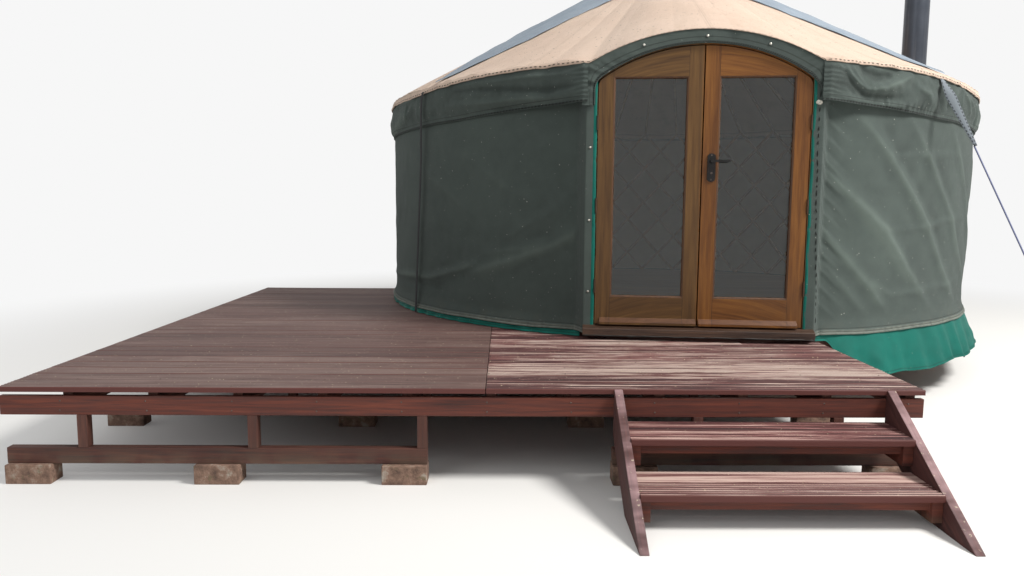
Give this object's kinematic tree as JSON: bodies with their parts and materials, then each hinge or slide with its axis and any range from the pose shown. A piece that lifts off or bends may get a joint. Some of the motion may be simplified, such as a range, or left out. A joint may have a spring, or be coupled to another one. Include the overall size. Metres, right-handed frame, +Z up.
{
  "type": "yurt on a timber deck",
  "caption": "Round canvas yurt with a lattice wall, poled roof with star rain cover, glazed double doors, flue, guys, raised deck and steps.",
  "frame": {"origin": "centre of the round floor, on the ground, under the middle pier", "axes": "+Z up; the double door faces -Y; +X is to the right of a visitor who faces the door"},
  "size_m": [6.7728, 7.1292, 4.05],
  "materials": {
    "floor_timber": "oiled boards",
    "under_timber": "stained softwood, weathered",
    "green_canvas": "proofed canvas, matt",
    "teal_canvas": "coated cloth, satin",
    "liner_cloth": "cotton lining over felt",
    "lattice_timber": "split ash laths, oiled",
    "pole_timber": "ash poles, oiled",
    "cover_cloth": "coated cloth, satin",
    "tan_canvas": "proofed canvas, matt",
    "door_timber": "stained oak, satin",
    "sill_timber": "dark wet oak",
    "door_glass": "clear double glazing",
    "black_iron": "black japanned",
    "flue_metal": "dark grey satin enamel",
    "flashing_rubber": "red silicone",
    "black_webbing": "black webbing",
    "grey_webbing": "grey stitched webbing",
    "guy_rope": "blue-grey braided line",
    "peg_metal": "galvanised, dull",
    "deck_timber": "stained grooved boards, worn",
    "stained_timber": "red-brown stain, worn",
    "brick": "weathered brick"
  },
  "bodies": {
    "root": {"floor_boards": "floor_timber", "floor_joists": "under_timber", "floor_bearers": "under_timber", "floor_piers": "under_timber", "floor_rim": "under_timber", "deck_joists": "under_timber", "deck_bearers": "under_timber", "deck_posts": "under_timber", "wall_canvas_front_right": "green_canvas", "wall_canvas_back_right": "green_canvas", "wall_canvas_back_left": "green_canvas", "wall_canvas_front_left": "green_canvas", "roof_valance_left": "green_canvas", "roof_valance_right": "green_canvas", "door_band": "green_canvas", "door_flaps": "teal_canvas", "skirt_left": "teal_canvas", "skirt_right": "teal_canvas", "wall_liner": "liner_cloth", "wall_lattice_left": "lattice_timber", "wall_lattice_right": "lattice_timber", "roof_poles": "pole_timber", "crown_ring": "pole_timber", "crown_spokes": "pole_timber", "crown_cover": "cover_cloth", "roof_canvas_front": "tan_canvas", "roof_canvas_right": "tan_canvas", "roof_canvas_back": "tan_canvas", "roof_canvas_left": "tan_canvas", "door_jambs": "door_timber", "door_head": "door_timber", "door_sill": "sill_timber", "door_hinges": "black_iron", "flue_pipe": "flue_metal", "flue_flashing": "flashing_rubber", "deck_strap": "black_webbing", "guy_webbing": "grey_webbing", "guy_ropes": "guy_rope", "ground_pegs": "peg_metal", "deck_boards_left": "deck_timber", "deck_boards_right": "deck_timber", "step_treads": "deck_timber", "deck_fascia": "stained_timber", "step_stringers": "stained_timber", "step_supports": "stained_timber", "brick_pads": "brick"},
    "left_door": {"left_door_leaf": "door_timber", "left_door_pane": "door_glass"},
    "right_door": {"right_door_leaf": "door_timber", "right_door_pane": "door_glass", "handle_plates": "black_iron"},
    "lever": {"door_lever": "black_iron"}
  },
  "joints": [
    {"name": "left_door_hinge", "type": "hinge", "parent": "root", "child": "left_door", "pos_m": [-0.6475, -2.4612, 0.6], "axis": [0, 0, -1], "range_deg": [0, 100]},
    {"name": "right_door_hinge", "type": "hinge", "parent": "root", "child": "right_door", "pos_m": [0.6475, -2.4612, 0.6], "axis": [0, 0, 1], "range_deg": [0, 100]},
    {"name": "lever_spindle", "type": "hinge", "parent": "right_door", "child": "lever", "pos_m": [0.058, -2.48, 1.595], "axis": [0, 1, 0], "range_deg": [0, 40], "stiffness_Nm_per_rad": 1.5, "springref_deg": -20.05}
  ]
}
